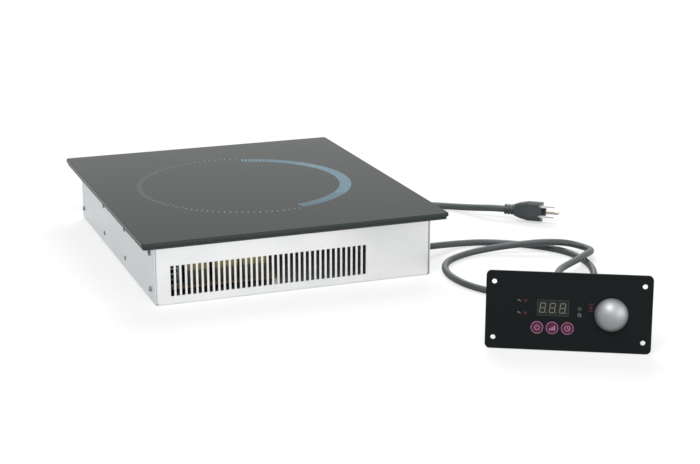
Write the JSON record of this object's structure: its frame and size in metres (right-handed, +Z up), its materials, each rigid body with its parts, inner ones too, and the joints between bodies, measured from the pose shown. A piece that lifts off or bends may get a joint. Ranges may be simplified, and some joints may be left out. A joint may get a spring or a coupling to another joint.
{
  "type": "drop-in induction cooktop",
  "caption": "Drop-in induction cooktop: black glass over a slotted steel housing with coil, fan and power board, a remote panel with knob and keys on a cable, and a mains cord with plug.",
  "frame": {"origin": "middle of the cooktop's flat base", "axes": "+X right along the slotted front, +Y to the rear, +Z up; the slotted front faces -Y"},
  "size_m": [0.5736, 0.8407, 0.0777],
  "materials": {
    "ceramic_glass": "black, polished",
    "seal": "matt black silicone",
    "black_frame": "satin black",
    "sheet_steel": "bright sheet",
    "fasteners": "bright zinc plate",
    "mica": "pale mica",
    "copper": "enamelled copper litz",
    "former": "glass-filled plastic",
    "ferrite": "sintered grey",
    "plain_aluminium": "mill finish",
    "silicone": "white silicone",
    "sensor": "epoxy bead",
    "circuit_board": "phenolic board",
    "device_black": "moulded epoxy",
    "capacitor": "yellow film case",
    "choke": "enamelled winding",
    "terminal": "white nylon",
    "fan_black": "black",
    "panel_black": "black printed face",
    "window": "smoked lens",
    "display": "unlit digits",
    "red_lens": "dim lens",
    "key_purple": "purple key",
    "knob_silver": "satin silver",
    "shaft_steel": "turned steel",
    "post_plastic": "white nylon",
    "box_black": "satin black",
    "gland_black": "black nylon",
    "cord_black": "matt black sheath",
    "tie": "hook tape",
    "plug_black": "moulded black",
    "pin_brass": "nickel brass"
  },
  "bodies": {
    "cooktop": {"glass_top": "ceramic_glass", "glass_seal": "seal", "top_frame": "black_frame", "chassis": "sheet_steel", "front_panel": "sheet_steel", "rear_panel": "sheet_steel", "front_bridge": "sheet_steel", "rear_bridge": "sheet_steel", "casing_screws": "fasteners", "bridge_rivets": "fasteners", "fan_screws": "fasteners", "box_screws": "fasteners", "earth_stud": "fasteners", "mica_sheet": "mica", "coil_winding": "copper", "coil_former": "former", "board_spacers": "former", "ferrite_bars": "ferrite", "coil_tray": "plain_aluminium", "heat_sink": "plain_aluminium", "sensor_bush": "silicone", "temperature_sensor": "sensor", "power_board": "circuit_board", "control_board": "circuit_board", "power_transistors": "device_black", "bridge_rectifier": "device_black", "encoder_body": "device_black", "key_switches": "device_black", "film_capacitors": "capacitor", "filter_choke": "choke", "terminal_block": "terminal", "fan_frame": "fan_black", "air_duct": "fan_black", "panel_plate": "panel_black", "display_window": "window", "display_module": "display", "indicator_lights": "red_lens", "encoder_nut": "shaft_steel", "control_spacers": "post_plastic", "control_box": "box_black", "box_posts": "box_black", "control_gland": "gland_black", "box_gland": "gland_black", "mains_strain_relief": "gland_black", "control_cable": "cord_black", "mains_cord_lead": "cord_black", "mains_cord_coil": "cord_black", "mains_cord_run": "cord_black", "cord_tie": "tie", "plug_body": "plug_black", "plug_blades": "pin_brass", "plug_earth_pin": "pin_brass"},
    "fan": {"fan_impeller": "fan_black"},
    "knob": {"control_knob": "knob_silver", "encoder_shaft": "shaft_steel"},
    "on_off_key": {"on_off_key": "key_purple"},
    "mode_key": {"mode_key": "key_purple"},
    "timer_key": {"timer_key": "key_purple"}
  },
  "joints": [
    {"name": "fan_spin", "type": "hinge", "parent": "cooktop", "child": "fan", "pos_m": [-0.085, 0.105, 0.0012], "axis": [0, 0, 1], "continuous": true},
    {"name": "knob_turn", "type": "hinge", "parent": "cooktop", "child": "knob", "pos_m": [0.22472, -0.47696, 0.03841], "axis": [-0.4643, -0.8769, 0.124], "continuous": true},
    {"name": "on_off_key_press", "type": "slide", "parent": "cooktop", "child": "on_off_key", "axis": [0.4643, 0.8769, -0.124], "range_m": [0, 0.0008], "stiffness_N_per_m": 1500},
    {"name": "mode_key_press", "type": "slide", "parent": "cooktop", "child": "mode_key", "axis": [0.4643, 0.8769, -0.124], "range_m": [0, 0.0008], "stiffness_N_per_m": 1500},
    {"name": "timer_key_press", "type": "slide", "parent": "cooktop", "child": "timer_key", "axis": [0.4643, 0.8769, -0.124], "range_m": [0, 0.0008], "stiffness_N_per_m": 1500}
  ]
}
